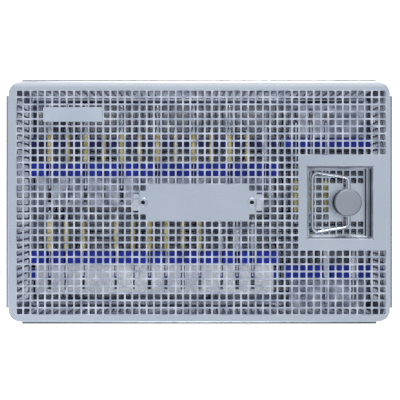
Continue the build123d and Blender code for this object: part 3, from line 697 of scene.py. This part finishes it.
# Pocket: a pierced floor, and walls bent over at the lid and round into the floor
floor_rect = rectangle(POCKET_X - 0.2, FIELD_Y, POCKET_LENGTH - 2 * POCKET_BEND - 0.4,
                       POCKET_WIDTH - 2 * POCKET_BEND)
pocket_slots = [rectangle(LATCH_X, FIELD_Y + side * 14.6, 2.0, 6.8) for side in (-1, 1)]
pocket_floor = perforated(
    [floor_rect, ring(LATCH_X, FIELD_Y, 2.8)] + pocket_slots, 8, 9, SATIN, (103.6, FIELD_Y, 0),
    [((112.4, FIELD_Y, 0), (28.0, 27.0, 1)), ((111.5, FIELD_Y, 0), (4, 36, 1))], POCKET_HOLES)
pocket_floor.transform(Matrix.Translation((0, 0, POCKET_FLOOR)))
piece("pocket_pierced_floor", pocket_floor, "lid", SATIN, "sheet_steel", "pocket_floor")


def pocket_profile():
    """Closed section of the pocket's wall, as (inset from the opening, height)."""
    arc = [math.radians(90 * i / BEND_STEPS) for i in range(BEND_STEPS + 1)]
    lip = [(-POCKET_LIP + POCKET_LIP * math.sin(t), LID_TOP - POCKET_LIP + POCKET_LIP * math.cos(t))
           for t in arc]
    low = POCKET_FLOOR + SHEET + POCKET_BEND
    inside = [(POCKET_BEND - POCKET_BEND * math.cos(t), low - POCKET_BEND * math.sin(t))
              for t in arc]
    reach = POCKET_BEND + SHEET
    outside = [(POCKET_BEND - reach * math.cos(t), low - reach * math.sin(t)) for t in arc[::-1]]
    return lip + inside + outside + [(-SHEET, LID_UNDER), (-POCKET_LIP, LID_UNDER)]


def level_ring(x, y, length, width, radius, height, steps=4):
    """Points round a rounded rectangle at one height."""
    outline = rounded_rectangle(length, width, radius, steps)
    return [(x + px, y + py, height) for px, py in outline]


def frame_round(profile, x, y, length, width, radius):
    """Closed section taken round a rectangle with rounded corners."""
    rows = [level_ring(x, y, length - 2 * inset, width - 2 * inset,
                       max(radius - inset, 0.3), height) for inset, height in profile]
    return skin("frame", rows, wrap=True)


def across_pocket(left, right, low, high):
    """Box across the pocket between two places along x and two heights."""
    whole = bmesh.new()
    bmesh.ops.create_cube(whole, size=1)
    corner = (left, FIELD_Y - SLOT_REACH, low)
    size = (right - left, 2 * SLOT_REACH, high - low)
    for vert in whole.verts:
        vert.co = [corner[i] + (vert.co[i] + 0.5) * size[i] for i in range(3)]
    return closed_mesh("cutter", whole)


def cut(mesh, cutter):
    """The mesh with the cutter's shape taken out."""
    target = bpy.data.objects.new("target", mesh)
    tool = bpy.data.objects.new("tool", cutter)
    for obj in (target, tool):
        bpy.context.scene.collection.objects.link(obj)
    knife = target.modifiers.new("cut", "BOOLEAN")
    knife.operation = "DIFFERENCE"
    knife.object = tool
    evaluated = target.evaluated_get(bpy.context.evaluated_depsgraph_get())
    result = bpy.data.meshes.new_from_object(evaluated)
    target.modifiers.remove(knife)
    bpy.data.objects.remove(target)
    bpy.data.objects.remove(tool)
    return result


# The wall's slot and the seam beside the floor, each with a dark strip set back in it as painted
# shade
pocket_walls = frame_round(pocket_profile(), POCKET_X, FIELD_Y, POCKET_LENGTH, POCKET_WIDTH,
                           POCKET_CORNER)
pocket_walls = cut(pocket_walls, across_pocket(127.0, 130.0, *SLOT_HEIGHTS))
pocket_walls = cut(pocket_walls, across_pocket(125.0, 126.3, 35.0, 39.0))
pocket_walls.materials.clear()
pocket_walls.materials.append(POCKET_SATIN)
piece("pocket_bent_walls", shaded(pocket_walls), "lid", POCKET_SATIN, "sheet_steel", "pocket_walls")
shade_strips = joined([across_pocket(128.2, 128.9, *SLOT_HEIGHTS),
                      across_pocket(124.7, 126.9, 35.4, 36.0)], PAINTED_SHADE)
piece("pocket_dark_strips", shade_strips, "lid", PAINTED_SHADE, "sheet_steel")


# Wires: the rim and the bail, round all the way

def rounded_path(corners, radii, closed):
    """Points along straight runs joined by arcs, given each corner and its radius."""
    points = []
    count = len(corners)
    for i, corner in enumerate(corners):
        if not closed and i in (0, count - 1):
            points.append(Vector(corner))
            continue
        here = Vector(corner)
        before = (Vector(corners[i - 1]) - here).normalized()
        after = (Vector(corners[(i + 1) % count]) - here).normalized()
        half = before.angle(after) / 2
        radius = radii[i]
        reach = radius / math.tan(half)
        centre = here + (before + after).normalized() * radius / math.sin(half)
        start = here + before * reach - centre
        end = here + after * reach - centre
        turn = start.angle(end)
        for j in range(9):
            share = j / 8
            along = start * math.sin(turn * (1 - share)) + end * math.sin(turn * share)
            points.append(centre + along / math.sin(turn))
    return points


def wire(name, points, radius, closed):
    """Round wire along a line of points."""
    curve = bpy.data.curves.new(name, "CURVE")
    curve.dimensions = "3D"
    spline = curve.splines.new("POLY")
    spline.points.add(len(points) - 1)
    for control, point in zip(spline.points, points):
        control.co = (*point, 1)
    spline.use_cyclic_u = closed
    curve.bevel_depth = radius
    curve.bevel_resolution = 6
    curve.use_fill_caps = True
    holder = bpy.data.objects.new(name, curve)
    bpy.context.scene.collection.objects.link(holder)
    evaluated = holder.evaluated_get(bpy.context.evaluated_depsgraph_get())
    mesh = bpy.data.meshes.new_from_object(evaluated)
    bpy.data.objects.remove(holder)
    return mesh


rim_corners = [(sx * RIM_X, sy * RIM_Y, RIM_Z) for sx, sy in ((1, 1), (-1, 1), (-1, -1), (1, -1))]
rim_path = rounded_path(rim_corners, [RIM_CORNER] * 4, True)
piece("rim_round_wire", wire("rim", rim_path, RIM_R, True), "tray",
      SHADED_RIM_STEEL, "bright_wire", "rim_wire", smooth=True)
bail_half = [(111.5, 4.3, 0), (111.5, 18.3, 3.5), (84.3, 22.9, 4.5)]
bail_bends = bail_half + [(x, -y, bend) for x, y, bend in bail_half[::-1]]
bail_path = rounded_path([(x, FIELD_Y + y, BAIL_Z) for x, y, bend in bail_bends],
                         [bend for x, y, bend in bail_bends], False)
piece("bail_round_wire", wire("bail", bail_path, BAIL_R, False),
      "bail", BRIGHT_WIRE, "bright_wire", "bail", smooth=True)


# Turned pieces

def lathe(stations, sides=24, shape=None):
    """Solid turned about the y axis: stations are (distance, radius); shape bends the section."""
    turns = [2 * math.pi * i / sides for i in range(sides)]
    rows = []
    for distance, radius in stations:
        sizes = [radius * (shape(turn, distance) if shape else 1) for turn in turns]
        rows.append([(size * math.cos(turn), distance, size * math.sin(turn))
                     for size, turn in zip(sizes, turns)])
    return skin("turned", rows)


def fluted(flutes, depth, lead):
    """Section of a drill: hollow flutes that turn along its length."""
    def shape(angle, distance):
        wave = math.cos(flutes * (angle - 2 * math.pi * distance / lead))
        return 1 - depth * max(0.0, wave) ** 1.5
    return shape


def shank(length):
    """Latch shank: stub, groove and plain run up to the body."""
    return [(0, 0.95), (0.25, SHANK_R), (1.6, SHANK_R), (1.7, 0.85), (2.5, 0.85), (2.6, SHANK_R),
            (length, SHANK_R)]


def cutting_tip(start, length, radius):
    """Fluted cutting end of a drill."""
    steps = max(8, int(length / 0.8))
    stations = [(start + (length - 1.5) * i / steps, radius) for i in range(steps + 1)]
    stations += [(start + length - 0.5, radius * 0.55), (start + length, radius * 0.08)]
    return lathe(stations, 20, fluted(2, 0.42, 16.0))


def gold_body(start, length):
    """Gold guide body, with rounded ends and three thin depth grooves."""
    end = start + length
    stations = [(start, 1.3), (start + 0.5, 1.95), (start + 0.9, BODY_R)]
    for groove in (0.30, 0.5, 0.70):
        at = start + length * groove
        stations += [(at - 0.35, BODY_R), (at - 0.25, 1.92), (at + 0.25, 1.92), (at + 0.35, BODY_R)]
    stations += [(end - 0.9, BODY_R), (end - 0.4, 1.95), (end, 1.55)]
    return lathe(stations)


def drill_row(name, body, node, places, shank_y, direction, neck, tip, empty=-1):
    """A row of drills: steel shanks and cutting tips, and gold bodies, as copies along the row."""
    first, step, count = places
    start = SHANK_LENGTH + neck
    gold_end = start + BODY_LENGTH
    steel = joined([lathe(shank(start)), cutting_tip(gold_end, tip + 1.25, TIP_R)], TOOL_STEEL)
    gold = gold_body(start, BODY_LENGTH)
    turn = Matrix.Scale(direction, 4, (0, 1, 0))
    for mesh, finish, label, slot in ((steel, TOOL_STEEL, "_steel", "tool_steel"),
                                      (gold, GOLD_COAT, "_gold", "gold_coated_steel")):
        mesh.transform(Matrix.Translation((0, shank_y, AXIS_HEIGHT)) @ turn)
        if direction < 0:
            mesh.flip_normals()
        row = grown(mesh, ROW_TREE, {"Count": count, "Step": (step, 0, 0), "First": (first, 0, 0),
                                     "Empty place": empty, "Finish": finish})
        replaced = (node,) if label == "_gold" else ()
        piece(name + label, shaded(row), body, finish, slot, *replaced)


drill_row("rear_drill_row", "rear_drill_row", "rear_drills", (ROW_X, REAR_STEP, 12),
          REAR_Y, 1, 0.0, 21.0)
drill_row("front_drill_row", "front_drill_row", "front_drills", (ROW_X, FRONT_STEP, 10),
          FRONT_Y, 1, 0.0, 7.5, empty=3)
drill_row("side_drill_row", "tray", "side_drills", (75.0, 11.6, 3), 61.3, -1, 26.3, 9.0)


def hand_tool(name, x, y, stations, flats):
    """A steel hand tool along +y, its grip cut by shallow flutes."""
    start, end, radius = flats
    grip_steps = [(start + (end - start) * i / 10, radius) for i in range(11)]
    mesh = joined([lathe(stations), lathe(grip_steps, 24, fluted(6, 0.10, 1e6))], TOOL_STEEL)
    mesh.transform(Matrix.Translation((x, y, AXIS_HEIGHT)))
    piece(name + "_turned", shaded(mesh), name + "_body", TOOL_STEEL, "tool_steel", name)


def driver(name, x, y, shank_length, grip_r, grip, shaft, shaft_r=1.2):
    """Shank, collar, fluted grip, collar and thin shaft."""
    a = shank_length
    b = shank_length + grip
    collar, waist = grip_r * 0.99, grip_r * 0.86
    stations = shank(a) + [(a + 0.05, grip_r * 0.75), (a + 0.6, collar), (a + 2.0, collar),
                           (a + 2.2, waist), (b - 2.2, waist), (b - 2.0, collar),
                           (b - 0.6, collar), (b, max(shaft_r, grip_r * 0.7)),
                           (b + 0.4, shaft_r), (b + shaft, shaft_r * 0.9)]
    hand_tool(name, x, y, stations, (a + 3.0, b - 3.0, grip_r))


driver("rear_driver", 51.4, REAR_Y, SHANK_LENGTH, 2.1, 30.0, 12.0)
for side, place, grip_r, grip, shaft in (
        ("left", 10.3, 2.6, 14.0, 9.0), ("middle", 11.27, 3.4, 18.0, 6.0),
        ("right", 12.2, 2.4, 22.0, 5.0)):
    driver("front_driver_" + side, ROW_X + FRONT_STEP * place, FRONT_Y, SHANK_LENGTH,
           grip_r, grip, shaft)
driver("side_driver_left", 98.2, SIDE_Y, 18.0, 3.0, 27.0, 2.0)
driver("side_driver_right", 119.5, SIDE_Y, 18.0, 3.0, 18.0, 8.0)

# Knob, base and rivets, turned about an upright axis
UP = Matrix.Rotation(math.radians(90), 4, "X")


def upright(stations, x, y, sides=64):
    """Piece turned about an upright axis: stations are (height, radius)."""
    mesh = lathe(stations, sides)
    mesh.transform(Matrix.Translation((x, y, 0)) @ UP)
    return shaded(mesh, 30)


knob = upright([(47.0, 9.4), (47.3, 9.9), (47.6, 10.0), (50.1, 10.0), (50.5, 9.85), (50.8, 9.5),
                (50.95, 9.0), (51.0, 8.2), (51.0, 0.4)], LATCH_X, FIELD_Y, 96)
piece("knob_disc", knob, "knob", KNOB_GREY, "grey_metal", "latch_knob")
base = upright([(37.3, 2.7), (37.3, 10.4), (38.5, 10.4), (38.8, 10.1), (38.8, 9.5), (38.5, 9.3),
                (37.5, 9.3), (37.5, 7.9), (45.2, 7.9), (45.8, 9.3), (46.4, 9.3), (46.7, 9.0),
                (46.7, 2.7)], LATCH_X, FIELD_Y, 96)
piece("latch_round_base", base, "lid", PLAIN_STEEL, "grey_metal", "latch_base")
# Dark ring in the gap between knob and base: painted shade
groove = upright([(37.5, 7.9), (37.5, 9.3), (37.9, 9.3), (37.9, 7.9)], LATCH_X, FIELD_Y, 96)
piece("latch_gap_shade", groove, "lid", PAINTED_SHADE, "grey_metal")


def hollow(profile, sides=48):
    """Closed ring turned about an upright axis, from (height, radius) round its section."""
    rows = [[(x, y, height) for x, y in ring(0, 0, radius, sides)] for height, radius in profile]
    return skin("hollow", rows, wrap=True)


def at_rivets(mesh, finish):
    """A copy of the mesh at each end of the lid's plain middle."""
    return grown(mesh, ROW_TREE, {"Count": 2, "Step": (2 * RIVET_REACH, 0, 0),
                                  "First": (NAME_X - RIVET_REACH, FIELD_Y, 0), "Finish": finish})


rivet = hollow([(48.8, 1.42), (48.8, 1.88), (51.3, 1.88), (51.3, 3.45), (51.45, 3.58), (51.7, 3.5),
                (51.9, 3.1), (52.0, 2.5), (52.0, 1.9), (51.9, 1.6), (51.7, 1.42)])
piece("name_hollow_rivets", shaded(at_rivets(rivet, RIVET_STEEL)), "lid", RIVET_STEEL,
      "plain_steel", "name_rivets")
# Dark discs down in the rivets' bores: painted shade
bore_shade = at_rivets(upright([(49.0, 1.38), (49.2, 1.38)], 0.0, 0.0, 24), PAINTED_SHADE)
piece("name_rivet_bores", bore_shade, "lid", PAINTED_SHADE, "plain_steel")


def soft_plate(x, y, length, width, low, high, radius, edge):
    """Thin plate with rounded corners and a softened top edge."""
    levels = ((low, 0), (high - edge, 0), (high, edge))
    return skin("plate", [level_ring(x, y, length - 2 * inset, width - 2 * inset, radius, height, 5)
                          for height, inset in levels])


plate = soft_plate(-93.2, 64.3, 43.7, 11.0, LID_TOP, LID_TOP + 0.6, 0.8, 0.2)
piece("small_bare_plate", plate, "lid", PLATE_METAL, "sheet_steel", "label_plate")

# Floor, light and camera
floor_material = bpy.data.materials.new("Studio floor")
floor_material.use_nodes = True
floor_tree = floor_material.node_tree
floor_shader = floor_tree.nodes["Principled BSDF"].inputs
floor_shader["Base Color"].default_value = (0.86, 0.86, 0.87, 1)
floor_shader["Roughness"].default_value = 0.8
floor_shader["Emission Color"].default_value = (1, 1, 1, 1)
rays = floor_tree.nodes.new("ShaderNodeLightPath").outputs
floor_place = floor_tree.nodes.new("ShaderNodeTexCoord").outputs["Object"]
under_tray = add_node(floor_tree, "ShaderNodeGroup",
                      {"Coordinates": floor_place, "Half size": UNDER_TRAY_HALF}, node_tree=ZONE)
mirrored = math_node(floor_tree, "MULTIPLY", rays["Is Glossy Ray"], 0.2)
shown = math_node(floor_tree, "MAXIMUM", rays["Is Camera Ray"], mirrored)
shown = math_node(floor_tree, "MAXIMUM", shown, rays["Is Transmission Ray"])
clear = math_node(floor_tree, "SUBTRACT", 1, under_tray.outputs["Mask"])
glow = math_node(floor_tree, "MULTIPLY", math_node(floor_tree, "MULTIPLY", shown, clear), 0.6)
floor_tree.links.new(glow, floor_shader["Emission Strength"])
floor_mesh = bpy.data.meshes.new("studio_floor")
floor_mesh.from_pydata([(-3, -3, 0), (3, -3, 0), (3, 3, 0), (-3, 3, 0)], [], [(0, 1, 2, 3)])
floor_mesh.materials.append(floor_material)
floor = bpy.data.objects.new("studio_floor", floor_mesh)
bpy.context.scene.collection.objects.link(floor)

world = bpy.data.worlds.new("Studio")
world.use_nodes = True
sky = world.node_tree
height = split(sky, sky.nodes.new("ShaderNodeTexCoord").outputs["Generated"])[2]
sky_colour = colour_mix(sky, ramp(sky, height, 0.15, 0.85),
                        (0.16, 0.18, 0.22, 1), (0.90, 0.94, 1.0, 1))
background = sky.nodes["Background"]
background.inputs["Strength"].default_value = 0.82
sky.links.new(sky_colour, background.inputs["Color"])
backdrop = add_node(sky, "ShaderNodeBackground", {"Color": (1, 1, 1, 1)})
sky_rays = sky.nodes.new("ShaderNodeLightPath")
choice = add_node(sky, "ShaderNodeMixShader",
                  {0: sky_rays.outputs["Is Camera Ray"], 1: background.outputs[0],
                   2: backdrop.outputs[0]})
sky.links.new(choice.outputs[0], sky.nodes["World Output"].inputs["Surface"])
bpy.context.scene.world = world


def soft_light(name, place, target, size, power):
    """Square area light aimed at a point."""
    data = bpy.data.lights.new(name, "AREA")
    data.size = size
    data.energy = power
    lamp = bpy.data.objects.new(name, data)
    lamp.location = place
    lamp.rotation_euler = (Vector(target) - Vector(place)).to_track_quat("-Z", "Y").to_euler()
    bpy.context.scene.collection.objects.link(lamp)


soft_light("key", (0.1, 0.95, 0.75), (0, 0, 0.03), 0.35, 7.0)
soft_light("fill", (-0.8, -0.5, 0.9), (0, 0, 0.03), 0.9, 1.5)
soft_light("front", (0.0, -0.95, 0.8), (0, 0, 0.03), 0.3, 2.5)

camera_data = bpy.data.cameras.new("camera")
camera_data.sensor_width = 36.0
camera_data.lens = 63.55
camera = bpy.data.objects.new("camera", camera_data)
camera.location = (0.00055, 0.00133, LID_TOP * MM + CAMERA_ABOVE_LID)
bpy.context.scene.collection.objects.link(camera)
bpy.context.scene.camera = camera
bpy.context.scene.view_settings.view_transform = "Standard"
